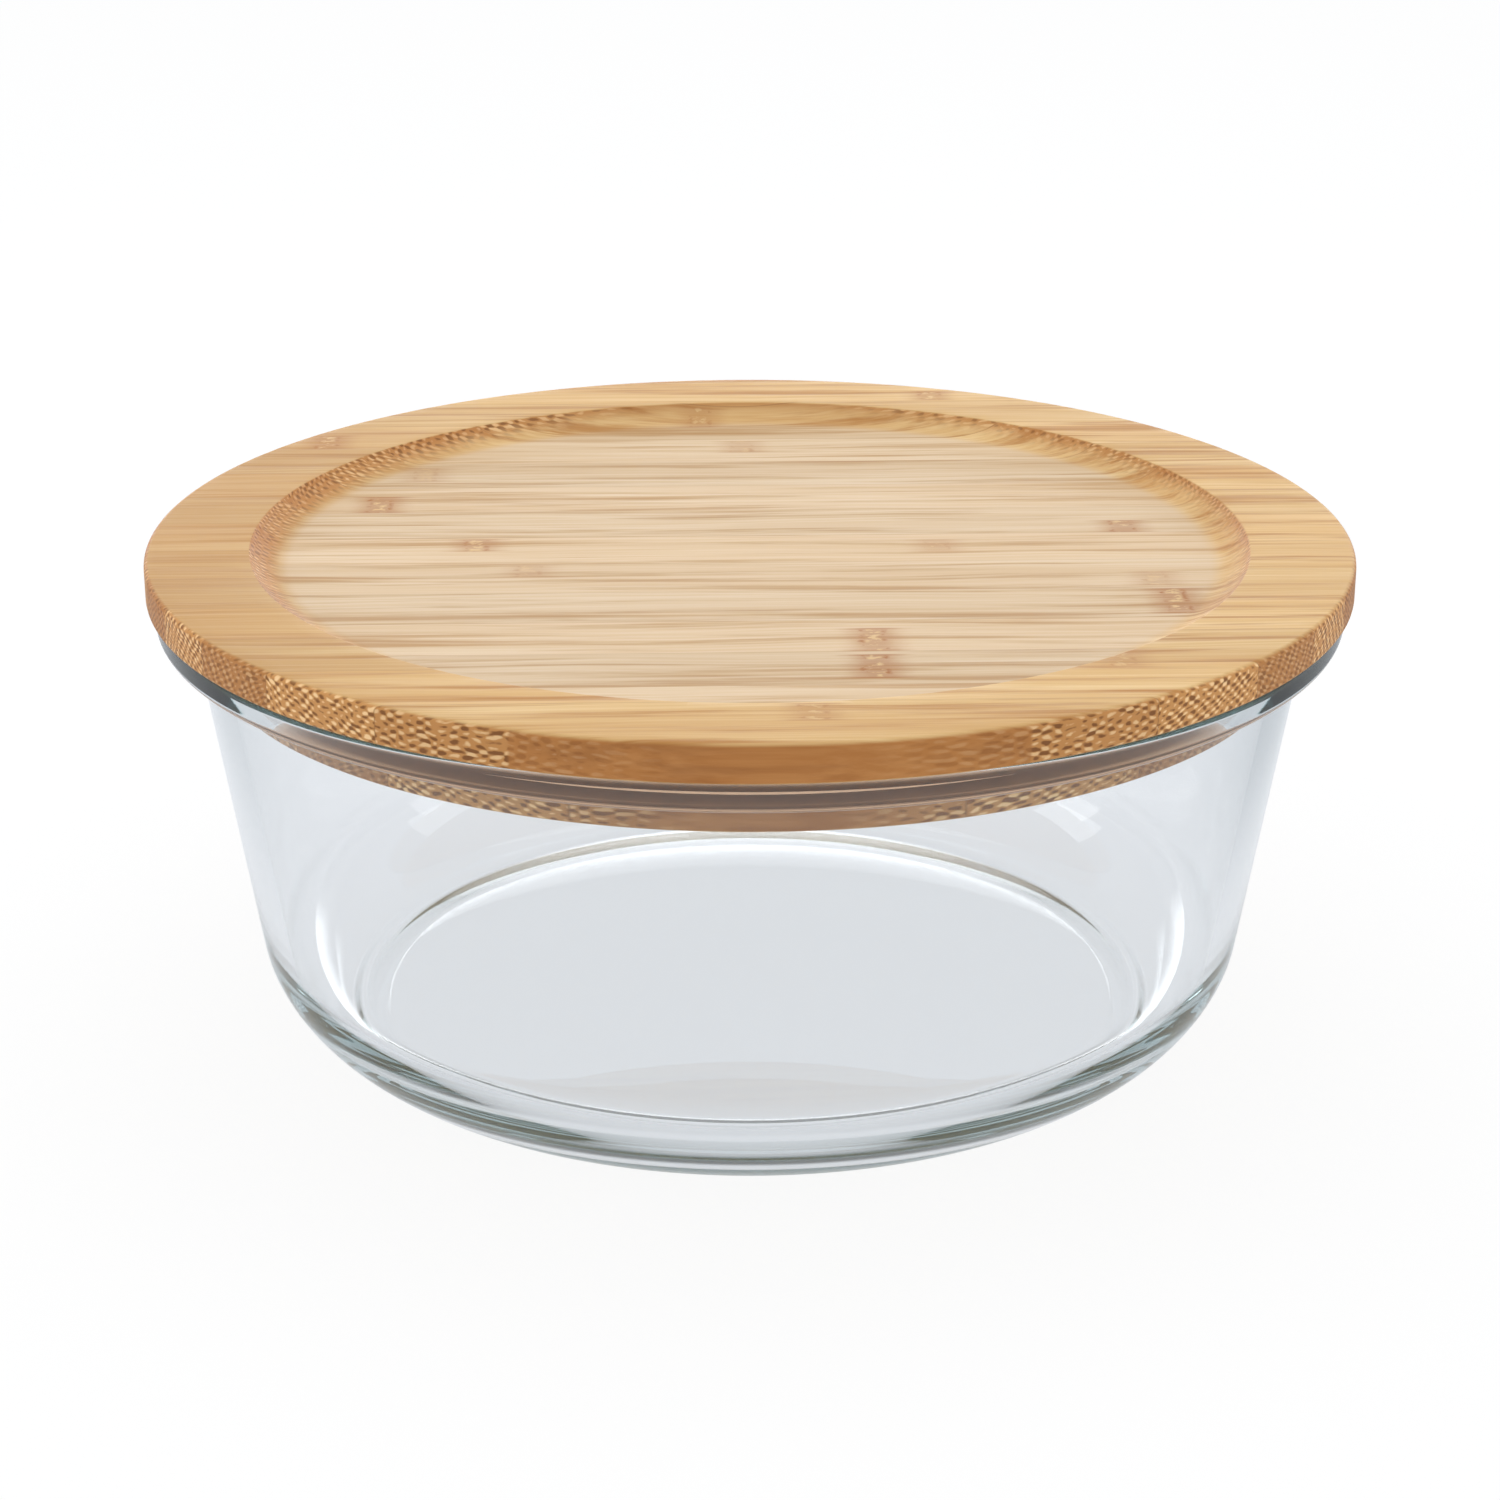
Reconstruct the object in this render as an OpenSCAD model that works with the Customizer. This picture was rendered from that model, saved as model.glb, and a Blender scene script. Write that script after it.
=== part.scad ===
// Round glass food container with a push-in bamboo lid and a silicone seal.
// Every piece is a body of revolution about Z, and the bowl stands on z = 0.
// The lid is a disc cut from a board of bamboo strips, which are glued edge to edge and run along X.

/* [Bowl] */
// Height of the glass, from the table to the top of its rim
bowl_h = 68.4; // [50:0.2:110]
// Outer diameter of the wall right under the rim
wall_top_d = 162.4; // [140:0.2:220]
// How far the wall leans out from upright, in degrees
wall_lean = 9.1; // [4:0.1:14]
// Thickness of the wall
wall_t = 3.4; // [2.6:0.1:4.4]
// Thickness of the glass floor
floor_t = 5; // [3:0.1:8]
// Radius of the outer corner between wall and base
corner_r = 18; // [12:0.5:24]
// Radius of the inner corner between wall and floor
inner_corner_r = 15; // [8:0.5:18]
// How far the foot ring reaches out past the point where the outer corner alone would touch the table
foot_reach = 4.6; // [1:0.2:7]
// Width of the steep slope from the foot ring up to the outer corner
foot_rise_w = 1.6; // [0.8:0.1:3]
// Width of the flat ring that the bowl stands on
foot_w = 1.4; // [1:0.1:6]
// Depth of the hollow in the underside, inside the foot ring
hollow_h = 0.45; // [0.3:0.05:1.5]
// Width of the slope between the foot ring and that hollow
hollow_slope_w = 4; // [1:0.2:8]

/* [Bowl rim] */
// How far the rim bead stands out from the wall
rim_reach = 5.1; // [4.2:0.1:8]
// Height of the rim bead
rim_h = 4.6; // [3.6:0.1:5.6]
// Radius of the fillet between rim and wall
rim_fillet_r = 1.4; // [0.6:0.1:2]
// Radius of the rim's inner top edge
mouth_r = 1.2; // [0.5:0.1:1.6]

/* [Lid] */
// How far the lid stands out from the glass rim
lid_reach = 1.2; // [0.4:0.1:6]
// Thickness of the flange that lies on the glass rim
flange_t = 5.4; // [4:0.1:9]
// How deep the plug under the flange reaches into the bowl
plug_h = 10.2; // [8.6:0.1:16]
// Gap between the plug's lower edge and the glass
plug_gap = 0.7; // [0.4:0.1:1.4]
// Radius of the flange's top edge
lid_edge_r = 0.8; // [0.3:0.1:1.6]
// Radius of the flange's bottom edge and of the plug's edges
lid_soft_r = 0.5; // [0.2:0.1:0.6]

/* [Lid recess] */
// Width of the flat brim around the recess in the lid's top
brim_w = 15; // [8:0.5:30]
// Depth of the recess
recess_h = 2.6; // [1.2:0.1:4]
// Width of the coved slope between brim and recess floor
cove_w = 5.2; // [4.2:0.1:9]

/* [Bamboo board] */
// Number of strips that the lid is glued from, front to back
strip_count = 13; // [7:1:21]
// How far the front and back strips reach in past the floor of the seal's groove, which would cut off their lip
edge_hold = 1; // [0.5:0.5:6]

/* [Seal] */
// Height of the silicone ring
seal_h = 5.4; // [4.6:0.1:6]
// Height of the bamboo land between the flange and the ring
seal_land_h = 1; // [0.7:0.1:1.6]
// Depth of the groove that holds the ring, from the plug's side
groove_depth = 3.2; // [2.4:0.1:5]
// Gap between the ring's back and the groove's floor
seal_slack = 0.1; // [0.05:0.05:0.3]
// Thickness of the ring's back, inside the groove
seal_back_t = 1.4; // [0.8:0.1:1.8]
// Number of sealing ribs
rib_count = 3; // [2:1:4]
// Thickness of a rib
rib_t = 0.9; // [0.5:0.1:1.1]
// Gap between a rib's tip and the glass
rib_gap = 0.2; // [0.1:0.05:0.5]

/* [Hidden] */
$fn = 180;
fine = 8; // steps in an arc whose shape is seen
coarse = 3; // steps in an arc that only breaks an edge

// Bowl: radii at a height z of the outer and inner face of the straight, leaning wall
rim_z = bowl_h - rim_h;
function outer_wall_r(z) = wall_top_d / 2 - (rim_z - z) * tan(wall_lean);
function inner_wall_r(z) = outer_wall_r(z) - wall_t / cos(wall_lean);
rim_r = wall_top_d / 2 + rim_reach;

// Lid: heights from the top down, all hung from the rim that carries the flange
lid_r = rim_r + lid_reach;
lid_top_z = bowl_h + flange_t;
groove_top_z = bowl_h - seal_land_h;
groove_foot_z = groove_top_z - seal_h;
plug_z = bowl_h - plug_h;
plug_r = inner_wall_r(plug_z) - plug_gap;
groove_r = plug_r - groove_depth;

// Recess: its cove is one arc that leaves the floor level and meets the brim
recess_z = lid_top_z - recess_h;
cove_r = (pow(cove_w, 2) + pow(recess_h, 2)) / (2 * recess_h);
cove_sweep = acos((cove_r - recess_h) / cove_r);

// Board: the outer glue lines lie edge_hold inside the groove's floor, and the others are evenly between them
outer_glue_y = groove_r - edge_hold;
strip_w = 2 * outer_glue_y / (strip_count - 2);
function glue_y(i) = -outer_glue_y + (i - 1) * strip_w;
function strip_name(i) = str("lid_strip_", i < 10 ? "0" : "", i);

// Points on an arc about c, of radius r, from angle a to angle b
function arc(c, r, a, b, steps) =
    [for (i = [0 : steps]) let (t = a + (b - a) * i / steps) c + r * [cos(t), sin(t)]];

module bowl_profile() {
    bead_r = rim_h / 2;
    fillet_z = rim_z - rim_fillet_r;
    mouth_z = bowl_h - mouth_r;
    inner_corner_z = floor_t + inner_corner_r;
    corner_x = outer_wall_r(corner_r) - corner_r / cos(wall_lean);
    foot_r = corner_x + foot_reach;
    foot_turn = -90 + asin((foot_reach + foot_rise_w) / corner_r);
    floor_r = inner_wall_r(inner_corner_z) - inner_corner_r / cos(wall_lean);
    polygon(concat(
        [[0, hollow_h], [foot_r - foot_w - hollow_slope_w, hollow_h], [foot_r - foot_w, 0], [foot_r, 0]],
        arc([corner_x, corner_r], corner_r, foot_turn, -wall_lean, fine),
        arc([outer_wall_r(fillet_z) + rim_fillet_r / cos(wall_lean), fillet_z],
            rim_fillet_r, 180 - wall_lean, 90, coarse),
        arc([rim_r - bead_r, rim_z + bead_r], bead_r, -90, 90, fine),
        arc([inner_wall_r(mouth_z) + mouth_r / cos(wall_lean), mouth_z],
            mouth_r, 90, 180 - wall_lean, coarse),
        arc([floor_r, inner_corner_z], inner_corner_r, -wall_lean, -90, fine),
        [[0, floor_t]]
    ));
}

module glass_bowl() {
    color([0.84, 0.88, 0.89, 0.45])
        rotate_extrude() bowl_profile();
}

// The ring that sits in the plug's groove, with ribs that follow the lean of the glass
module seal_ring() {
    back_r = groove_r + seal_slack;
    rib_pitch = (seal_h - rib_t) / (rib_count - 1);
    color([0.86, 0.84, 0.80, 0.8])
        rotate_extrude() {
            translate([back_r, groove_foot_z]) square([seal_back_t, seal_h]);
            for (i = [0 : rib_count - 1]) {
                z = groove_foot_z + rib_t / 2 + i * rib_pitch;
                tip_r = inner_wall_r(z) - rib_gap - rib_t / 2;
                translate([back_r, z - rib_t / 2]) square([tip_r - back_r, rib_t]);
                translate([tip_r, z]) circle(d = rib_t, $fn = 24);
            }
        }
}

module lid_profile() {
    cove_foot_r = lid_r - brim_w - cove_w;
    s = lid_soft_r;
    polygon(concat(
        [[0, recess_z]],
        arc([cove_foot_r, recess_z + cove_r], cove_r, -90, -90 + cove_sweep, fine),
        arc([lid_r - lid_edge_r, lid_top_z - lid_edge_r], lid_edge_r, 90, 0, coarse),
        arc([lid_r - s, bowl_h + s], s, 0, -90, coarse),
        [[plug_r, bowl_h]],
        arc([plug_r - s, groove_top_z + s], s, 0, -90, coarse),
        [[groove_r, groove_top_z], [groove_r, groove_foot_z]],
        arc([plug_r - s, groove_foot_z - s], s, 90, 0, coarse),
        arc([plug_r - s, plug_z + s], s, 0, -90, coarse),
        [[0, plug_z]]
    ));
}

// Strip i of the board, counted from the front, cut to the lid's shape
module lid_strip(i) {
    margin = 1;
    front_y = i == 1 ? -lid_r - margin : glue_y(i - 1);
    back_y = i == strip_count ? lid_r + margin : glue_y(i);
    color(i % 2 == 0 ? [0.87, 0.70, 0.48] : [0.83, 0.65, 0.42])
        intersection() {
            rotate_extrude() lid_profile();
            translate([-lid_r - margin, front_y, plug_z - margin])
                cube([2 * (lid_r + margin), back_y - front_y, lid_top_z - plug_z + 2 * margin]);
        }
}

glass_bowl();
seal_ring();
for (i = [1 : strip_count])
    lid_strip(i);
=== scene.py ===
import math

import bmesh
import bpy
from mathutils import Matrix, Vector


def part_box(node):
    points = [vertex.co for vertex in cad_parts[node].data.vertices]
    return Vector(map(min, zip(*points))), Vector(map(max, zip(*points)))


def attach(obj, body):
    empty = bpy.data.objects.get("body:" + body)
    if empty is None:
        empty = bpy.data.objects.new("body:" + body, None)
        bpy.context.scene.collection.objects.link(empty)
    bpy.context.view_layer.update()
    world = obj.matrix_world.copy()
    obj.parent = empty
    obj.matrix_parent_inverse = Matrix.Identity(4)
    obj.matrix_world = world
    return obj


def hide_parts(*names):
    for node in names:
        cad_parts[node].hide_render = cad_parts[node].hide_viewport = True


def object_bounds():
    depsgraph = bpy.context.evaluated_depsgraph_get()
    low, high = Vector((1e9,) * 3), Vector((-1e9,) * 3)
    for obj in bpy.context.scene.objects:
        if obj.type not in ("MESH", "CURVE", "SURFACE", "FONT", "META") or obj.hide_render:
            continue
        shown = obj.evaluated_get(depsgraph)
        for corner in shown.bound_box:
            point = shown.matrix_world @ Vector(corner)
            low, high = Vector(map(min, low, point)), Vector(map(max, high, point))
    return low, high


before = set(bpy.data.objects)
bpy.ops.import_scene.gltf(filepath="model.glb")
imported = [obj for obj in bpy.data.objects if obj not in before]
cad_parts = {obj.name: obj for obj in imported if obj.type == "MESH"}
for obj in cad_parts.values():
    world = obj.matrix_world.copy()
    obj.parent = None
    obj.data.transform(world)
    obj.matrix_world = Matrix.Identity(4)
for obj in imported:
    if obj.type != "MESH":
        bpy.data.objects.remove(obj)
cadBox = [list(corner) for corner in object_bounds()]
mm = 0.001
glassBounces = 80  # light turns many times inside the thick corner of the glass
scene = bpy.context.scene
scene.view_settings.view_transform = "Standard"
scene.cycles.max_bounces = glassBounces
scene.cycles.glossy_bounces = glassBounces
scene.cycles.transmission_bounces = glassBounces
print("frame loaded:", len(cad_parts), "nodes")


def roundCorner(bm, vert, radius, segments):
    # rounds one corner of a wire profile to an arc of this radius
    if radius <= 0:
        return
    ends = [edge.other_vert(vert).co - vert.co for edge in vert.link_edges]
    turn = math.pi - ends[0].angle(ends[1])
    bmesh.ops.bevel(
        bm, geom=[vert], offset=radius * math.tan(turn / 2), offset_type="OFFSET", affect="VERTICES",
        segments=segments, profile=0.5, material=-1, clamp_overlap=True,
    )


def wireProfile(corners, longest, closed=False):
    # corners are (radius from the axis, height, corner radius, segments), in millimetres
    bm = bmesh.new()
    verts = [bm.verts.new((r * mm, 0, z * mm)) for r, z, *_ in corners]
    for a, b in zip(verts, verts[1:]):
        bm.edges.new((a, b))
    if closed:
        bm.edges.new((verts[-1], verts[0]))
    for vert, (_, _, rounding, segments) in zip(verts, corners):
        roundCorner(bm, vert, rounding * mm, segments)
    for edge in list(bm.edges):  # short steps keep the shading of long flats true
        cuts = int(edge.calc_length() / (longest * mm))
        if cuts:
            bmesh.ops.subdivide_edges(bm, edges=[edge], cuts=cuts)
    return bm


def turnProfile(bm, steps):
    # turns a wire profile round the object's axis and closes the solid at its poles
    bmesh.ops.spin(
        bm, geom=bm.verts[:] + bm.edges[:], cent=(0, 0, 0), axis=(0, 0, 1), dvec=(0, 0, 0),
        angle=math.tau, steps=steps, use_merge=True, use_duplicate=False,
    )
    bmesh.ops.remove_doubles(bm, verts=bm.verts[:], dist=1e-6)
    bmesh.ops.recalc_face_normals(bm, faces=bm.faces[:])
    return bm


def makePiece(name, bm, material, body, node, sharpAt):
    mesh = bpy.data.meshes.new(name)
    bm.to_mesh(mesh)
    bm.free()
    mesh.shade_smooth()
    mesh.set_sharp_from_angle(angle=math.radians(sharpAt))
    mesh.materials.append(material)
    piece = bpy.data.objects.new(name, mesh)
    scene.collection.objects.link(piece)
    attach(piece, body)
    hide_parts(node)


def newMaterial(name):
    material = bpy.data.materials.new(name)
    material.use_nodes = True
    material.node_tree.nodes.clear()
    return material, material.node_tree


def addNode(tree, kind, inputs=None, **settings):
    # adds a shader node; an input is either a value or another node's output
    node = tree.nodes.new(kind)
    for key, value in settings.items():
        setattr(node, key, value)
    for key, value in (inputs or {}).items():
        if isinstance(value, bpy.types.NodeSocket):
            tree.links.new(value, node.inputs[key])
        else:
            node.inputs[key].default_value = value
    return node


def calc(tree, operation, a, b=0.0, c=0.0):
    return addNode(tree, "ShaderNodeMath", {0: a, 1: b, 2: c}, operation=operation).outputs[0]


def times(tree, a, b):
    return calc(tree, "MULTIPLY", a, b)


def vectorCalc(tree, operation, *inputs):
    node = addNode(tree, "ShaderNodeVectorMath", dict(enumerate(inputs)), operation=operation)
    return node.outputs["Value" if operation == "LENGTH" else "Vector"]


def ramp(tree, value, ends, low=0.0, high=1.0):
    # a smooth step from low to high as value goes from one end to the other
    node = addNode(
        tree, "ShaderNodeMapRange",
        {"Value": value, "From Min": ends[0], "From Max": ends[1], "To Min": low, "To Max": high},
        interpolation_type="SMOOTHSTEP", clamp=True,
    )
    return node.outputs["Result"]


def inMetres(pair):
    return [value * mm for value in pair]


def mixColor(tree, factor, a, b, blend="MIX"):
    inputs = {0: factor, 6: a, 7: b}
    node = addNode(tree, "ShaderNodeMix", inputs, data_type="RGBA", blend_type=blend, clamp_factor=True)
    return node.outputs[2]


def mixValue(tree, factor, a, b):
    return addNode(tree, "ShaderNodeMix", {0: factor, 2: a, 3: b}).outputs[0]


def mixShader(tree, factor, a, b):
    return addNode(tree, "ShaderNodeMixShader", {0: factor, 1: a, 2: b}).outputs[0]


def separate(tree, vector):
    return addNode(tree, "ShaderNodeSeparateXYZ", {0: vector}).outputs


def combine(tree, x, y, z=0.0):
    return addNode(tree, "ShaderNodeCombineXYZ", {0: x, 1: y, 2: z}).outputs[0]


def noise(tree, vector, detail, roughness, scale=1.0):
    return addNode(tree, "ShaderNodeTexNoise", {
        "Vector": vector, "Scale": scale, "Detail": detail, "Roughness": roughness,
    }).outputs


def stretched(tree, vector, scale, shift=(0, 0, 0)):
    return addNode(tree, "ShaderNodeMapping", {
        "Vector": vector, "Scale": scale, "Location": shift,
    }).outputs[0]


def lightThrough(tree, surface, tint):
    # shadows and soft bounced light pass straight through a clear piece, slightly tinted
    path = addNode(tree, "ShaderNodeLightPath").outputs
    softRays = calc(tree, "MAXIMUM", path["Is Shadow Ray"], path["Is Diffuse Ray"])
    through = addNode(tree, "ShaderNodeBsdfTransparent", {"Color": tint})
    return mixShader(tree, softRays, surface.outputs[0], through.outputs[0])


def rgb(r, g, b):
    # an 8-bit screen colour as the linear colour that shaders take
    def linear(value):
        value /= 255
        return value / 12.92 if value <= 0.04045 else ((value + 0.055) / 1.055) ** 2.4

    return (linear(r), linear(g), linear(b), 1)


glassLook = {
    "ior": 1.5,
    "edgeTint": (0.72, 0.79, 0.795, 1),  # shows only where light goes a long way through
    "tintDensity": 25.0,
    "shadowTint": (0.93, 0.955, 0.96, 1),
}


def glassMaterial(look):
    material, tree = newMaterial("clearGlass")
    surface = addNode(tree, "ShaderNodeBsdfPrincipled", {
        "Base Color": (1, 1, 1, 1), "Roughness": 0.0, "IOR": look["ior"], "Transmission Weight": 1.0,
    })
    inside = addNode(tree, "ShaderNodeVolumeAbsorption", {
        "Color": look["edgeTint"], "Density": look["tintDensity"],
    })
    addNode(tree, "ShaderNodeOutputMaterial", {
        "Surface": lightThrough(tree, surface, look["shadowTint"]), "Volume": inside.outputs[0],
    })
    return material


bowlShape = {  # mm and degrees; height and rim radius come from the frame
    "wallLean": 9.1, "wallT": 3.4, "wallTopR": 81.2, "floorT": 5.0,
    "cornerR": 18.0, "innerCornerR": 15.0,
    "footR": 60.2, "footRiseW": 1.6, "footW": 1.4, "footEdgeR": 2.5,
    "hollowH": 0.45, "hollowSlopeW": 4.0, "hollowEdgeR": 8.0,
    "rimH": 4.6, "beadR": 1.5, "rimFilletR": 1.4, "mouthR": 1.2,
    "segments": {"hollow": 8, "foot": 6, "corner": 28, "rim": 8, "bead": 12},
    "longest": 1.6, "steps": 288, "sharpAt": 60,
}


def buildBowl(shape):
    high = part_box("glass_bowl")[1]
    bowlH = high.z / mm
    rimR = high.x / mm
    rimZ = bowlH - shape["rimH"]
    lean = math.radians(shape["wallLean"])
    segments = shape["segments"]

    def outerR(z):
        return shape["wallTopR"] - (rimZ - z) * math.tan(lean)

    def innerR(z):
        return outerR(z) - shape["wallT"] / math.cos(lean)

    cornerR = shape["cornerR"]
    middleR = outerR(cornerR) - cornerR / math.cos(lean)  # centre of the outer corner's arc
    riseR = shape["footR"] + shape["footRiseW"]
    footTurn = math.asin((riseR - middleR) / cornerR)
    riseZ = cornerR * (1 - math.cos(footTurn))
    wallZ = (riseZ + (outerR(0) - riseR) * math.tan(footTurn)) / (1 - math.tan(lean) * math.tan(footTurn))
    hollowR = shape["footR"] - shape["footW"]
    profile = wireProfile([
        (0, shape["hollowH"], 0, 0),
        (hollowR - shape["hollowSlopeW"], shape["hollowH"], shape["hollowEdgeR"], segments["hollow"]),
        (hollowR, 0, shape["hollowEdgeR"], segments["hollow"]),
        (shape["footR"], 0, shape["footEdgeR"], segments["foot"]),
        (riseR, riseZ, shape["footEdgeR"], segments["foot"]),
        (outerR(wallZ), wallZ, cornerR, segments["corner"]),
        (outerR(rimZ), rimZ, shape["rimFilletR"], segments["rim"]),
        (rimR, rimZ, shape["beadR"], segments["bead"]),
        (rimR, bowlH, shape["beadR"], segments["bead"]),
        (innerR(bowlH), bowlH, shape["mouthR"], segments["rim"]),
        (innerR(shape["floorT"]), shape["floorT"], shape["innerCornerR"], segments["corner"]),
        (0, shape["floorT"], 0, 0),
    ], shape["longest"])
    bm = turnProfile(profile, shape["steps"])
    material = glassMaterial(glassLook)
    makePiece("glassBowl", bm, material, "bowl", "glass_bowl", shape["sharpAt"])


buildBowl(bowlShape)
print("bowl built")


sealShape = {  # mm; height and radii come from the frame
    "backT": 1.4, "backEdgeR": 0.1,
    "ribs": 3, "ribT": 0.9, "rootR": 0.18,
    "tipShare": 0.96,  # of half a rib's thickness: its tip is all but fully round
    "segments": {"back": 2, "root": 3, "tip": 5},
    "longest": 1.0, "steps": 192, "sharpAt": 50,
}
sealLook = {
    "color": rgb(250, 202, 162),
    "dull": 0.93, "dullRange": (0.35, 0.65),  # faint clouds in the colour
    "cloudScale": 260.0, "cloudDetail": 3.0, "cloudRoughness": 0.5,
    "smooth": 0.30, "rough": 0.43, "roughRange": (0.3, 0.7),
    "transmission": 0.03, "ior": 1.41, "specular": 0.25,
    "shadowTint": (0.72, 0.64, 0.56, 1),
}


def sealMaterial(look):
    material, tree = newMaterial("silicone")
    place = addNode(tree, "ShaderNodeTexCoord").outputs["Object"]
    cloud = noise(tree, place, look["cloudDetail"], look["cloudRoughness"], look["cloudScale"])["Fac"]
    dull = tuple(look["dull"] * part for part in look["color"][:3]) + (1,)
    surface = addNode(tree, "ShaderNodeBsdfPrincipled", {
        "Base Color": mixColor(tree, ramp(tree, cloud, look["dullRange"]), dull, look["color"]),
        "Roughness": ramp(tree, cloud, look["roughRange"], look["smooth"], look["rough"]),
        "Transmission Weight": look["transmission"], "IOR": look["ior"],
        "Specular IOR Level": look["specular"],
    })
    addNode(tree, "ShaderNodeOutputMaterial", {"Surface": lightThrough(tree, surface, look["shadowTint"])})
    return material


def buildSeal(shape):
    low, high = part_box("seal_ring")
    z0, z1 = low.z / mm, high.z / mm
    tipR = high.x / mm
    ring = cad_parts["seal_ring"].data.vertices
    backR = min(v.co.x for v in ring if abs(v.co.y) < 1e-5 and v.co.x > 0) / mm
    rootR = backR + shape["backT"]
    lean = math.tan(math.radians(bowlShape["wallLean"]))  # the tips follow the bowl's wall
    pitch = (z1 - z0 - shape["ribT"]) / (shape["ribs"] - 1)
    half = shape["ribT"] / 2
    segments = shape["segments"]
    corners = [(backR, z0, shape["backEdgeR"], segments["back"])]
    for i in range(shape["ribs"]):
        z = z0 + half + i * pitch
        tip = tipR - (z1 - half - z) * lean
        if i > 0:
            corners.append((rootR, z - half, shape["rootR"], segments["root"]))
        corners.append((tip, z - half, half * shape["tipShare"], segments["tip"]))
        corners.append((tip, z + half, half * shape["tipShare"], segments["tip"]))
        if i < shape["ribs"] - 1:
            corners.append((rootR, z + half, shape["rootR"], segments["root"]))
    corners.append((backR, z1, shape["backEdgeR"], segments["back"]))
    bm = turnProfile(wireProfile(corners, shape["longest"], closed=True), shape["steps"])
    material = sealMaterial(sealLook)
    makePiece("sealRing", bm, material, "lid", "seal_ring", shape["sharpAt"])


buildSeal(sealShape)
print("seal built")


lidShape = {  # mm and degrees; radius, top and plug foot come from the frame
    "flangeT": 5.4, "recessH": 2.6, "brimW": 15.0, "coveR": 5.8, "coveLean": 53,
    "plugR": 76.16, "grooveR": 72.96, "grooveTop": 1.0, "grooveH": 5.4,
    "topEdgeR": 0.8, "brimEdgeR": 0.35, "softR": 0.5,
    "segments": {"cove": 14, "edge": 6, "small": 4},
    "longest": 2.5, "steps": 360, "sharpAt": 35,
}


def lidProfile(shape):
    low = min(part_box(name)[0].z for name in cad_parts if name.startswith("lid_strip")) / mm
    high = cadBox[1][2] / mm
    lidR = cadBox[1][0] / mm
    recessZ = high - shape["recessH"]
    under = high - shape["flangeT"]
    brimR = lidR - shape["brimW"]
    slope = shape["recessH"] / math.tan(math.radians(shape["coveLean"]))
    grooveTop = under - shape["grooveTop"]
    grooveFoot = grooveTop - shape["grooveH"]
    segments = shape["segments"]
    soft = (shape["softR"], segments["small"])
    return [
        (0, recessZ, 0, 0),
        (brimR - slope, recessZ, shape["coveR"], segments["cove"]),
        (brimR, high, shape["brimEdgeR"], segments["small"]),
        (lidR, high, shape["topEdgeR"], segments["edge"]),
        (lidR, under, *soft),
        (shape["plugR"], under, 0, 0),
        (shape["plugR"], grooveTop, *soft),
        (shape["grooveR"], grooveTop, 0, 0),
        (shape["grooveR"], grooveFoot, 0, 0),
        (shape["plugR"], grooveFoot, *soft),
        (shape["plugR"], low, *soft),
        (0, low, 0, 0),
    ]


def cutAt(bm, y, keepBack):
    # cuts the solid at this y, keeps one side and closes the cut
    cut = bmesh.ops.bisect_plane(
        bm, geom=bm.verts[:] + bm.edges[:] + bm.faces[:], dist=1e-7, plane_co=(0, y, 0), plane_no=(0, 1, 0),
        clear_inner=keepBack, clear_outer=not keepBack,
    )
    edges = [item for item in cut["geom_cut"] if isinstance(item, bmesh.types.BMEdge)]
    bmesh.ops.edgeloop_fill(bm, edges=edges)


def newGroup(name, inputs, outputs):
    group = bpy.data.node_groups.new(name, "ShaderNodeTree")
    for label, kind in inputs:
        group.interface.new_socket(label, in_out="INPUT", socket_type="NodeSocket" + kind)
    for label in outputs:
        group.interface.new_socket(label, in_out="OUTPUT", socket_type="NodeSocketFloat")
    return group, group.nodes.new("NodeGroupInput").outputs


def giveOut(group, values):
    result = group.nodes.new("NodeGroupOutput")
    for label, value in values.items():
        group.links.new(value, result.inputs[label])


def useGroup(tree, group, inputs):
    return addNode(tree, "ShaderNodeGroup", inputs, node_tree=group).outputs


fibreLook = {
    # noise fields: scale along X, Y and Z, detail, roughness and shift; the fibres run along X
    "fine": ((22, 1500, 900), 3.0, 0.6, 0), "fineRange": (0.3, 0.7),
    "streak": ((15, 400, 300), 4.0, 0.6, 7), "streakRange": (0.46, 0.68),
    "broad": ((9, 120, 90), 2.0, 0.5, 13), "broadRange": (0.3, 0.7),
    "uneven": ((60, 700, 700), 3.0, 0.65, 21), "unevenBy": 3.0,
    # what bends the fibres and loosens the bundles: scale, detail and roughness, then how far, in mm
    "wander": ((22, 60, 60), 2.0, 0.4), "wanderBy": (0, 3.0, 1.5),
    "jitter": ((120, 420, 420), 2.0, 0.6), "jitterBy": (0, 1.6, 1.4),
    "bundleY": 1.45, "bundleZ": 1.25,  # mm between every second dot of the end grain
    "bundleShear": 0.6, "bundleRange": (0.1, 0.8), "pithRange": (-0.9, -0.2),
}


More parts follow.
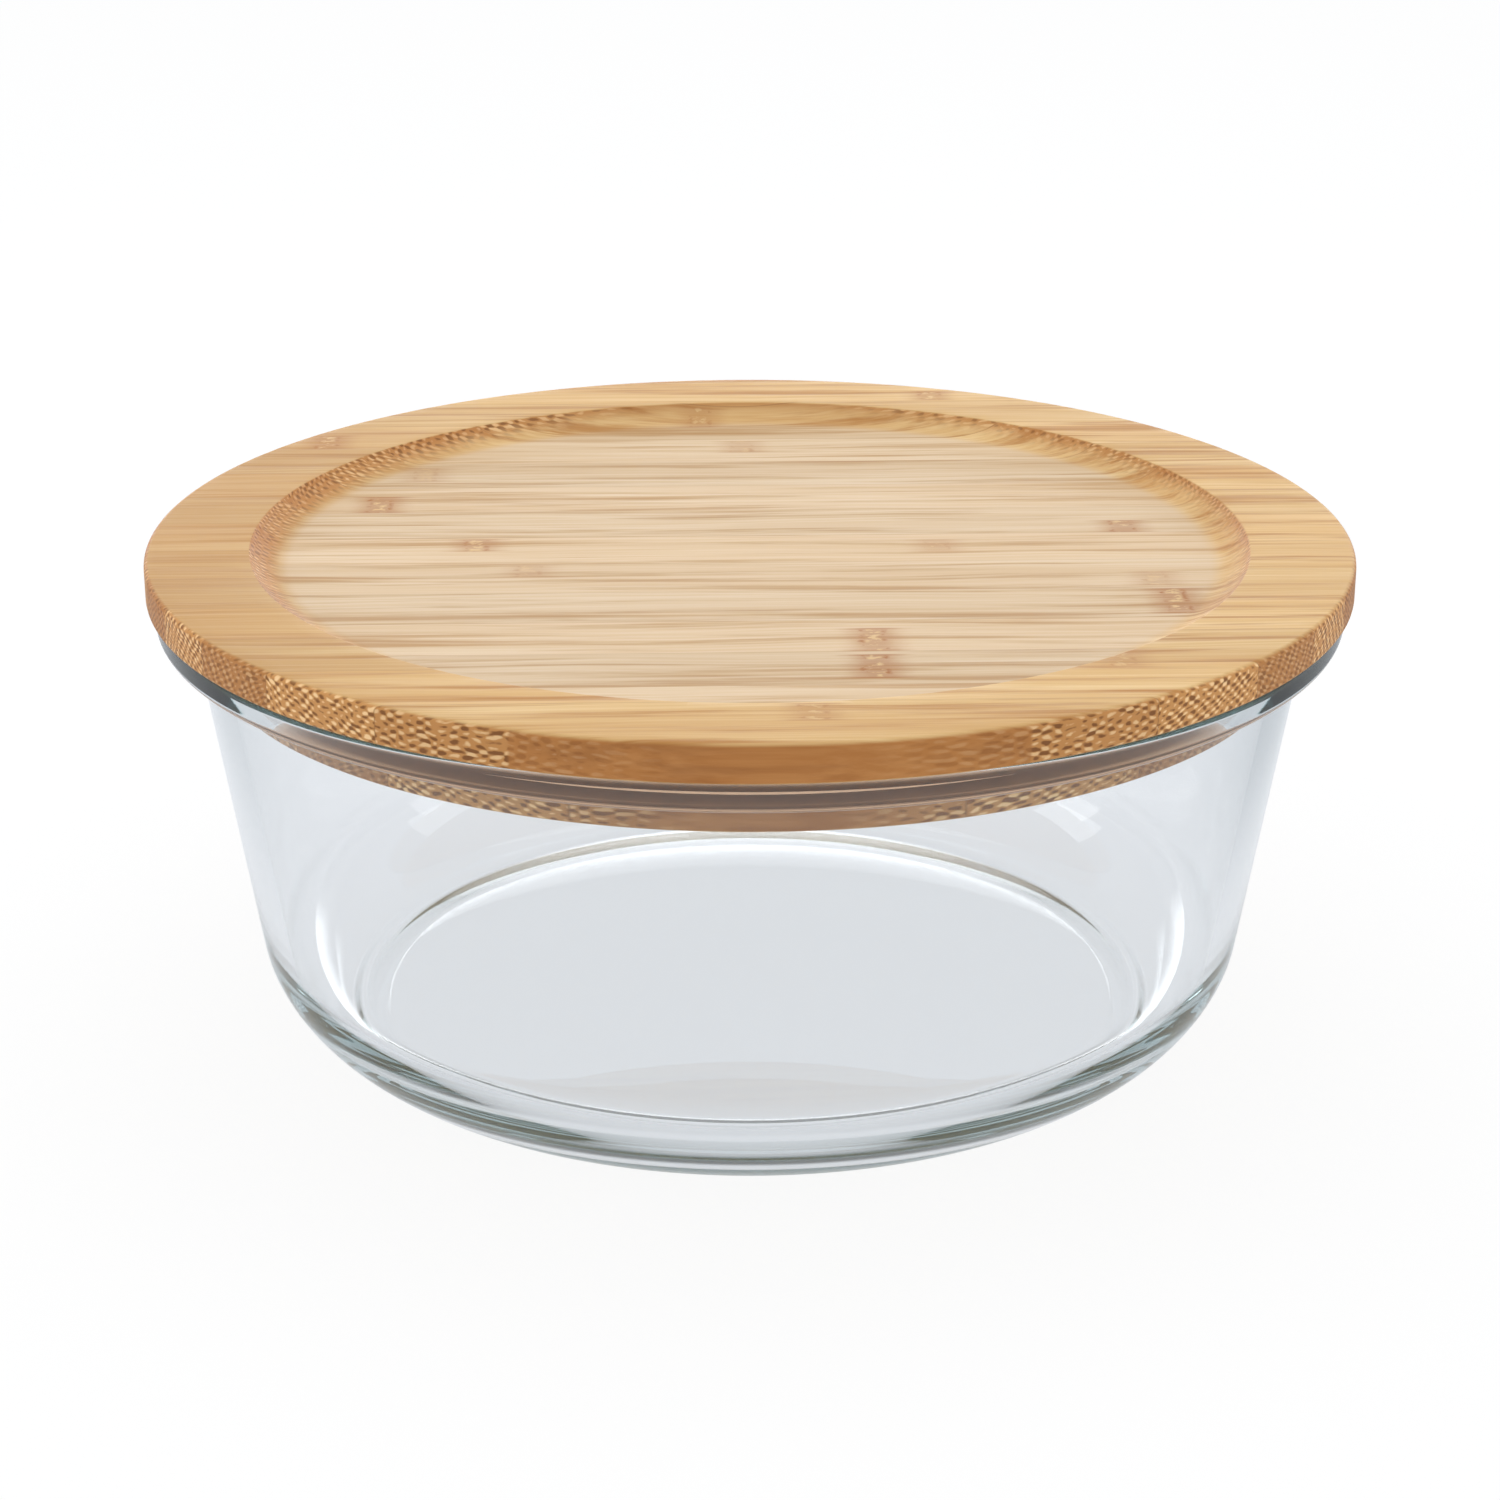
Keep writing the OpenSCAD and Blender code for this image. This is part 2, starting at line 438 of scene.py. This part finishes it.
def fibreGroup(look):
    # fibres run along X through the whole board: one field gives streaks on top and dots at the ends
    group, given = newGroup("bambooFibre", [("Position", "Vector"), ("Seed", "Float")], [
        "Fine", "Streak", "Broad", "Bundles", "Pith",
    ])
    position = given["Position"]
    seed = combine(group, given["Seed"], given["Seed"], given["Seed"])

    scale, detail, roughness = look["wander"]
    moved = vectorCalc(group, "ADD", stretched(group, position, scale), seed)
    wander = noise(group, moved, detail, roughness)["Color"]
    bent = vectorCalc(group, "MULTIPLY_ADD", wander, inMetres(look["wanderBy"]), position)

    def field(name):
        scale, detail, roughness, shift = look[name]
        moved = vectorCalc(group, "ADD", stretched(group, bent, scale, (shift, 0, 0)), seed)
        return noise(group, moved, detail, roughness)["Fac"]

    def wave(value, pitch):
        return calc(group, "COSINE", times(group, value, math.tau / (pitch * mm)))

    # the fibre bundles stand in a loose staggered lattice, with paler pith between them
    scale, detail, roughness = look["jitter"]
    jitter = noise(group, stretched(group, position, scale), detail, roughness)["Color"]
    loose = separate(group, vectorCalc(group, "MULTIPLY_ADD", jitter, inMetres(look["jitterBy"]), bent))
    shear = times(group, calc(group, "SINE", given["Seed"]), look["bundleShear"])
    skewY = calc(group, "MULTIPLY_ADD", loose["Z"], shear, loose["Y"])
    lattice = times(group, wave(skewY, look["bundleY"]), wave(loose["Z"], look["bundleZ"]))
    uneven = calc(group, "SUBTRACT", field("uneven"), 0.5)
    bundles = calc(group, "MULTIPLY_ADD", uneven, look["unevenBy"], lattice)
    pith = calc(group, "MULTIPLY_ADD", uneven, -look["unevenBy"], lattice)
    giveOut(group, {
        "Fine": ramp(group, field("fine"), look["fineRange"]),
        "Streak": ramp(group, field("streak"), look["streakRange"]),
        "Broad": ramp(group, field("broad"), look["broadRange"]),
        "Bundles": ramp(group, bundles, look["bundleRange"]),
        "Pith": ramp(group, pith, look["pithRange"], 1.0, 0.0),
    })
    return group


knuckles = [  # middle of each bamboo node on the lid and half its height, in mm, then its strength
    (15.6, -41.0, 4.8, 0.9), (15.2, -51.8, 4.8, 1.0), (47.0, -57.8, 3.0, 0.5), (5.8, -76.0, 3.2, 0.6),
    (59.0, -25.8, 5.6, 0.95), (57.5, -15.5, 3.2, 0.5), (27.5, 0.8, 3.0, 0.5), (56.0, 9.6, 3.0, 0.9),
    (-32.0, -9.6, 2.8, 0.45), (-40.0, 3.0, 3.0, 0.8), (-55.5, 24.0, 4.2, 0.95), (-49.5, 40.0, 4.0, 0.4),
    (0.5, 54.5, 3.4, 0.5), (-65.5, 50.0, 4.0, 0.8), (32.5, 75.5, 3.0, 0.8), (-6.0, 69.0, 2.8, 0.6),
]
knuckleLook = {  # mm from the middle along X; shares are of half its height
    "ragged": (500, 900, 500), "raggedDetail": 3.0, "raggedRoughness": 0.6, "sway": 1.6,
    "endShare": (0.8, 1.05),
    "barAt": 1.5, "barW": 1.3, "barBreaks": (0.4, 0.62),
    "cloud": (0.5, 5.5), "cloudStrength": 0.6,
    "dashShare": 0.92, "dashHalf": 0.13, "dash": (1.0, 6.2), "dashStrength": 0.9,
    "fleck": (0.4, 1.6), "fleckBreaks": (0.52, 0.6),
}


def knuckleGroup(look):
    # a bamboo node: two broken brown bars, flecks between them and a dash at each end
    group, given = newGroup("bambooKnuckle", [
        ("Position", "Vector"), ("Middle X", "Float"), ("Middle Y", "Float"),
        ("Half Height", "Float"), ("Strength", "Float"),
    ], ["Dark", "Pale"])
    parts = separate(group, given["Position"])
    raggedPlace = stretched(group, given["Position"], look["ragged"])
    ragged = noise(group, raggedPlace, look["raggedDetail"], look["raggedRoughness"])["Fac"]
    fromX = calc(group, "SUBTRACT", parts["X"], given["Middle X"])
    fromX = calc(group, "MULTIPLY_ADD", calc(group, "SUBTRACT", ragged, 0.5), look["sway"] * mm, fromX)
    acrossX = calc(group, "ABSOLUTE", fromX)
    acrossY = calc(group, "ABSOLUTE", calc(group, "SUBTRACT", parts["Y"], given["Middle Y"]))
    share = calc(group, "DIVIDE", acrossY, given["Half Height"])
    inside = ramp(group, share, look["endShare"], 1.0, 0.0)

    def near(value, at, reach):
        away = calc(group, "ABSOLUTE", calc(group, "SUBTRACT", value, at))
        return ramp(group, away, (0.0, reach), 1.0, 0.0)

    bars = near(acrossX, look["barAt"] * mm, look["barW"] * mm)
    bars = times(group, bars, ramp(group, ragged, look["barBreaks"]))
    cloud = ramp(group, acrossX, inMetres(look["cloud"]), look["cloudStrength"], 0.0)
    dash = ramp(group, acrossX, inMetres(look["dash"]), look["dashStrength"], 0.0)
    dash = times(group, near(share, look["dashShare"], look["dashHalf"]), dash)
    dark = calc(group, "MAXIMUM", times(group, bars, inside), times(group, cloud, inside))
    dark = calc(group, "MAXIMUM", dark, dash)
    fleck = ramp(group, acrossX, inMetres(look["fleck"]), 1.0, 0.0)
    fleck = times(group, fleck, ramp(group, ragged, look["fleckBreaks"]))
    giveOut(group, {
        "Dark": times(group, dark, given["Strength"]),
        "Pale": times(group, times(group, fleck, inside), given["Strength"]),
    })
    return group


bambooLook = {
    "topPale": rgb(216, 183, 128), "topMid": rgb(194, 149, 88), "topDark": rgb(168, 112, 46),
    "topGold": rgb(178, 132, 72),
    "recessPale": rgb(214, 190, 157), "recessMid": rgb(198, 167, 127), "recessDark": rgb(171, 128, 74),
    "sidePale": rgb(191, 131, 71), "sideMid": rgb(170, 107, 49), "sideDark": rgb(126, 69, 25),
    "endPale": rgb(240, 200, 146), "endMid": rgb(198, 142, 82), "endDark": rgb(116, 68, 28),
    "knuckleDark": rgb(160, 98, 34), "knucklePale": rgb(214, 182, 130),
    "glue": rgb(150, 104, 60),
    # how strongly each pattern shows
    "fineMix": 0.55, "broadMix": 0.6, "streakMix": {"top": 0.85, "recess": 0.85, "side": 0.4},
    "goldMix": 0.7, "knucklePaleMix": 0.8, "glueMix": 0.55,
    "coveMix": (0.8, 0.25),  # end grain in the cove, at the left and at the right
    "skinMix": 0.3,  # end grain in the plain outermost layer
    # where each one lies, in mm
    "goldX": (-85, -30), "coveX": (-20, 30), "recessR": (66.5, 69.5), "skinY": (81.1, 81.3),
    "glueW": 0.11,  # each side of a glue line
    # which way a face has to turn for it: parts of its normal
    "uprightZ": (0.35, 0.93), "recessZ": (0.7, 0.99), "endX": (0.08, 0.34), "coveEndX": (0.12, 0.5),
    # one value for each strip, from the front to the back
    "seedStep": 3.7,
    "dots": [0.85, 0.85, 0.6, 0.8, 0.75, 0.65, 0.75, 0.6, 0.8, 0.65, 0.85, 0.85, 0.85],
    "endBrown": [0.2, 0.0, 0.55, 0.1, 0.7, 0.35, 0.75, 0.4, 0.6, 0.2, 0.5, 0.1, 0.2],
    "tone": [1.0, 1.03, 0.95, 1.02, 0.97, 1.0, 1.04, 0.98, 1.02, 0.96, 1.01, 0.97, 1.02],
    # the surface
    "bump": 0.25, "bumpDepth": 0.06, "streakDepth": -0.6,
    "smooth": 0.48, "rough": 0.6, "specular": 0.28,
}


def bambooMaterial(name, index, box, seams, outermost, groups, look):
    material, tree = newMaterial(name)
    texture = addNode(tree, "ShaderNodeTexCoord").outputs
    place = texture["Object"]
    parts = separate(tree, place)
    facing = separate(tree, texture["Normal"])
    fibre = useGroup(tree, groups["fibre"], {"Position": place, "Seed": look["seedStep"] * index})

    # how far a face shows the fibres' cut ends
    upright = ramp(tree, calc(tree, "ABSOLUTE", facing["Z"]), look["uprightZ"], 1.0, 0.0)
    sideways = calc(tree, "ABSOLUTE", facing["X"])
    coveShare = ramp(tree, parts["X"], inMetres(look["coveX"]), *look["coveMix"])
    onCove = times(tree, ramp(tree, sideways, look["coveEndX"]), coveShare)
    endGrain = mixValue(tree, upright, onCove, ramp(tree, sideways, look["endX"]))
    if outermost:
        outward = calc(tree, "ABSOLUTE", parts["Y"])
        skin = ramp(tree, outward, inMetres(look["skinY"]), 1.0, look["skinMix"])
        endGrain = times(tree, endGrain, skin)

    def tones(kind):
        pale, middle, dark = look[kind + "Pale"], look[kind + "Mid"], look[kind + "Dark"]
        base = mixColor(tree, times(tree, fibre["Fine"], look["fineMix"]), pale, middle)
        base = mixColor(tree, times(tree, fibre["Broad"], look["broadMix"]), base, middle)
        return mixColor(tree, times(tree, fibre["Streak"], look["streakMix"][kind]), base, dark)

    radius = vectorCalc(tree, "LENGTH", combine(tree, parts["X"], parts["Y"]))
    golden = times(tree, ramp(tree, parts["X"], inMetres(look["goldX"]), 1.0, 0.0), look["goldMix"])
    sunk = ramp(tree, radius, inMetres(look["recessR"]), 1.0, 0.0)
    sunk = times(tree, sunk, ramp(tree, facing["Z"], look["recessZ"]))
    color = mixColor(tree, golden, tones("top"), look["topGold"])
    color = mixColor(tree, sunk, color, tones("recess"))
    color = mixColor(tree, upright, color, tones("side"))
    ends = mixColor(tree, fibre["Pith"], look["endMid"], look["endPale"])
    ends = mixColor(tree, look["endBrown"][index], ends, look["sideMid"])
    ends = mixColor(tree, times(tree, fibre["Bundles"], look["dots"][index]), ends, look["endDark"])
    color = mixColor(tree, endGrain, color, ends)
    for x, y, half, strength in knuckles:
        if box[0].y < (y + half) * mm and box[1].y > (y - half) * mm:
            mark = useGroup(tree, groups["knuckle"], {
                "Position": place, "Middle X": x * mm, "Middle Y": y * mm,
                "Half Height": half * mm, "Strength": strength,
            })
            flecks = times(tree, mark["Pale"], look["knucklePaleMix"])
            color = mixColor(tree, mark["Dark"], color, look["knuckleDark"])
            color = mixColor(tree, flecks, color, look["knucklePale"])
    glueLines = []
    for seam in seams:
        away = calc(tree, "ABSOLUTE", calc(tree, "SUBTRACT", parts["Y"], seam))
        glueLines.append(ramp(tree, away, (0.0, look["glueW"] * mm), look["glueMix"], 0.0))
    glued = glueLines[0] if len(glueLines) == 1 else calc(tree, "MAXIMUM", *glueLines)
    color = mixColor(tree, glued, color, look["glue"])
    color = mixColor(tree, 1.0, color, (look["tone"][index],) * 3 + (1,), "MULTIPLY")

    height = calc(tree, "ADD", fibre["Fine"], times(tree, fibre["Streak"], look["streakDepth"]))
    bump = addNode(tree, "ShaderNodeBump", {
        "Height": height, "Strength": look["bump"], "Distance": look["bumpDepth"] * mm,
    })
    surface = addNode(tree, "ShaderNodeBsdfPrincipled", {
        "Base Color": color, "Normal": bump.outputs[0], "Specular IOR Level": look["specular"],
        "Roughness": ramp(tree, fibre["Fine"], (0.0, 1.0), look["smooth"], look["rough"]),
    })
    addNode(tree, "ShaderNodeOutputMaterial", {"Surface": surface.outputs[0]})
    return material


def buildLid(shape):
    names = sorted(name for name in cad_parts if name.startswith("lid_strip"))
    last = len(names) - 1
    whole = turnProfile(wireProfile(lidProfile(shape), shape["longest"]), shape["steps"])
    groups = {"fibre": fibreGroup(fibreLook), "knuckle": knuckleGroup(knuckleLook)}
    for index, name in enumerate(names):
        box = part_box(name)
        seams = []
        bm = whole.copy()
        if index > 0:
            seams.append(box[0].y)
            cutAt(bm, box[0].y, True)
        if index < last:
            seams.append(box[1].y)
            cutAt(bm, box[1].y, False)
        bmesh.ops.recalc_face_normals(bm, faces=bm.faces[:])
        pieceName = "lidStrip" + name[-2:]
        material = bambooMaterial(pieceName, index, box, seams, index in (0, last), groups, bambooLook)
        makePiece(pieceName, bm, material, "lid", name, shape["sharpAt"])
    whole.free()


buildLid(lidShape)
print("lid built")


floorLook = {
    "size": 6.0, "drop": 0.1,  # metres across, mm under the foot
    "color": (0.9, 0.9, 0.9, 1), "throughGlass": rgb(233, 236, 242),
    # how far it gives way to a plain white: seen directly, through glass and in reflections
    "whiteSeen": 0.9, "whiteThrough": 0.85, "whiteReflected": 0.7,
    # grey flanks that only the glass sees, which draw the edges of its wall: mm from the middle
    "flankGrey": rgb(90, 112, 122), "flankLeft": 0.3, "flankRight": 0.45,
    "flankNear": (85, 150), "flankFar": (220, 320), "flankTurn": (-50, 50),
    # a painted contact shadow: a dark line on the floor, seen only through the glass, where the front of
    # the foot meets the table: mm from the middle
    "contactShadowColor": (0.02, 0.03, 0.03, 1), "contactShade": 0.9,
    "contactInner": (56.5, 58.8), "contactOuter": (59.8, 62.0), "contactFront": (-45, -15),
}


def floorMaterial(look):
    material, tree = newMaterial("paleFloor")
    place = addNode(tree, "ShaderNodeTexCoord").outputs["Object"]
    spot = separate(tree, place)
    aside = calc(tree, "ABSOLUTE", spot["X"])
    flankEnd = ramp(tree, aside, inMetres(look["flankFar"]), 1.0, 0.0)
    flank = times(tree, ramp(tree, aside, inMetres(look["flankNear"])), flankEnd)
    flankShare = ramp(tree, spot["X"], inMetres(look["flankTurn"]), look["flankLeft"], look["flankRight"])
    glassSees = mixColor(tree, times(tree, flank, flankShare), look["throughGlass"], look["flankGrey"])
    # painted contact shadow: a dark ring on the floor under the front of the foot, which only the glass
    # sees
    away = vectorCalc(tree, "LENGTH", place)
    contactEnd = ramp(tree, away, inMetres(look["contactOuter"]), 1.0, 0.0)
    contact = times(tree, ramp(tree, away, inMetres(look["contactInner"])), contactEnd)
    contactShare = ramp(tree, spot["Y"], inMetres(look["contactFront"]), look["contactShade"], 0.0)
    glassSees = mixColor(tree, times(tree, contact, contactShare), glassSees, look["contactShadowColor"])

    path = addNode(tree, "ShaderNodeLightPath").outputs
    matt = addNode(tree, "ShaderNodeBsdfDiffuse", {"Color": look["color"]})
    white = addNode(tree, "ShaderNodeEmission", {"Color": (1, 1, 1, 1), "Strength": 1.0})
    behindGlass = addNode(tree, "ShaderNodeEmission", {"Color": glassSees, "Strength": 1.0})
    seen = times(tree, path["Is Camera Ray"], look["whiteSeen"])
    refracted = times(tree, path["Is Transmission Ray"], look["whiteThrough"])
    reflected = times(tree, path["Is Glossy Ray"], look["whiteReflected"])
    surface = mixShader(tree, seen, matt.outputs[0], white.outputs[0])
    surface = mixShader(tree, calc(tree, "MAXIMUM", refracted, reflected), surface, behindGlass.outputs[0])
    addNode(tree, "ShaderNodeOutputMaterial", {"Surface": surface})
    return material


def buildFloor(look):
    bm = bmesh.new()
    bmesh.ops.create_grid(bm, x_segments=1, y_segments=1, size=look["size"] / 2)
    bmesh.ops.translate(bm, verts=bm.verts[:], vec=(0, 0, -look["drop"] * mm))
    mesh = bpy.data.meshes.new("floor")
    bm.to_mesh(mesh)
    bm.free()
    mesh.materials.append(floorMaterial(look))
    floor = bpy.data.objects.new("floor", mesh)
    scene.collection.objects.link(floor)


worldLook = {  # ranges are parts of the direction in which a ray leaves: X right, Y back, Z up
    "color": (0.95, 0.97, 1, 1),
    "lowLight": 0.62, "upZ": (-0.1, 0.9),
    "frontDark": 0.45, "frontY": (-0.9, 0.1),
    "horizonZ": (-0.1, 0.02),
    "sideGlint": 9.0, "sideTopZ": (0.3, 0.42), "sideX": (0.35, 0.5), "sideY": (-0.3, -0.1),
    "backGlint": 4.5, "backTopZ": (0.14, 0.26), "backY": (0.8, 0.92),
}


def buildWorld(look):
    world = bpy.data.worlds.new("studio")
    scene.world = world
    world.use_nodes = True
    tree = world.node_tree
    tree.nodes.clear()
    path = addNode(tree, "ShaderNodeLightPath").outputs
    parts = separate(tree, addNode(tree, "ShaderNodeTexCoord").outputs["Generated"])
    firstRay = calc(tree, "LESS_THAN", path["Ray Depth"], 1.5)
    laterRay = calc(tree, "GREATER_THAN", path["Ray Depth"], 1.5)

    # the glass sees a darker front, while soft light comes from there in full
    front = ramp(tree, parts["Y"], look["frontY"], look["frontDark"], 1.0)
    front = mixValue(tree, path["Is Diffuse Ray"], front, 1.0)
    strength = times(tree, ramp(tree, parts["Z"], look["upZ"], look["lowLight"], 1.0), front)

    # low bright bands at both sides draw the highlight along the rim, the first thing that a ray meets
    low = ramp(tree, parts["Z"], look["horizonZ"])
    band = times(tree, low, ramp(tree, parts["Z"], look["sideTopZ"], 1.0, 0.0))
    band = times(tree, band, ramp(tree, calc(tree, "ABSOLUTE", parts["X"]), look["sideX"]))
    band = times(tree, band, ramp(tree, parts["Y"], look["sideY"]))
    band = times(tree, band, times(tree, path["Is Glossy Ray"], firstRay))
    strength = calc(tree, "MULTIPLY_ADD", band, look["sideGlint"], strength)

    # a low bright band at the back draws the lines of light along the inner corner, by single reflections
    band = times(tree, low, ramp(tree, parts["Z"], look["backTopZ"], 1.0, 0.0))
    band = times(tree, band, ramp(tree, parts["Y"], look["backY"]))
    band = times(tree, band, times(tree, calc(tree, "COMPARE", path["Glossy Depth"], 1.0, 0.5), laterRay))
    strength = calc(tree, "MULTIPLY_ADD", band, look["backGlint"], strength)

    around = addNode(tree, "ShaderNodeBackground", {"Color": look["color"], "Strength": strength})
    white = addNode(tree, "ShaderNodeBackground", {"Color": (1, 1, 1, 1), "Strength": 1.0})
    addNode(tree, "ShaderNodeOutputWorld", {
        "Surface": mixShader(tree, path["Is Camera Ray"], around.outputs[0], white.outputs[0]),
    })


softboxes = [  # place, target, width and height in metres, power in watts, seen in reflections
    ("overhead", (0, 0.25, 0.9), (0, 0, 0.05), 0.9, 0.7, 2.5, True),
    ("left", (-0.8, 0.1, 0.35), (0, 0, 0.04), 0.3, 0.5, 1.2, False),
    ("right", (0.8, 0.0, 0.35), (0, 0, 0.04), 0.3, 0.5, 0.8, False),
]


def addSoftbox(name, place, target, width, height, power, reflected):
    light = bpy.data.lights.new(name, "AREA")
    light.shape = "RECTANGLE"
    light.size = width
    light.size_y = height
    light.energy = power
    lamp = bpy.data.objects.new(name, light)
    lamp.location = place
    lamp.rotation_euler = (Vector(target) - Vector(place)).to_track_quat("-Z", "Y").to_euler()
    lamp.visible_glossy = reflected
    scene.collection.objects.link(lamp)


camera = {
    "lens": 82.6, "sensor": 36.0,
    "distance": 0.48125,  # metres along the table, from the object's axis
    "aboveLid": 0.14971,
    "pitch": 20.904,  # degrees down
    "turn": -1.8,  # degrees round the object
}


def buildCamera(view):
    data = bpy.data.cameras.new("camera")
    data.lens = view["lens"]
    data.sensor_width = view["sensor"]
    eye = bpy.data.objects.new("camera", data)
    turn = math.radians(view["turn"])
    away = view["distance"]
    eye.location = (away * math.sin(turn), -away * math.cos(turn), cadBox[1][2] + view["aboveLid"])
    eye.rotation_euler = (math.radians(90 - view["pitch"]), 0, turn)
    scene.collection.objects.link(eye)
    scene.camera = eye


buildFloor(floorLook)
buildWorld(worldLook)
for softbox in softboxes:
    addSoftbox(*softbox)
buildCamera(camera)
print("studio built")

bpy.context.view_layer.update()
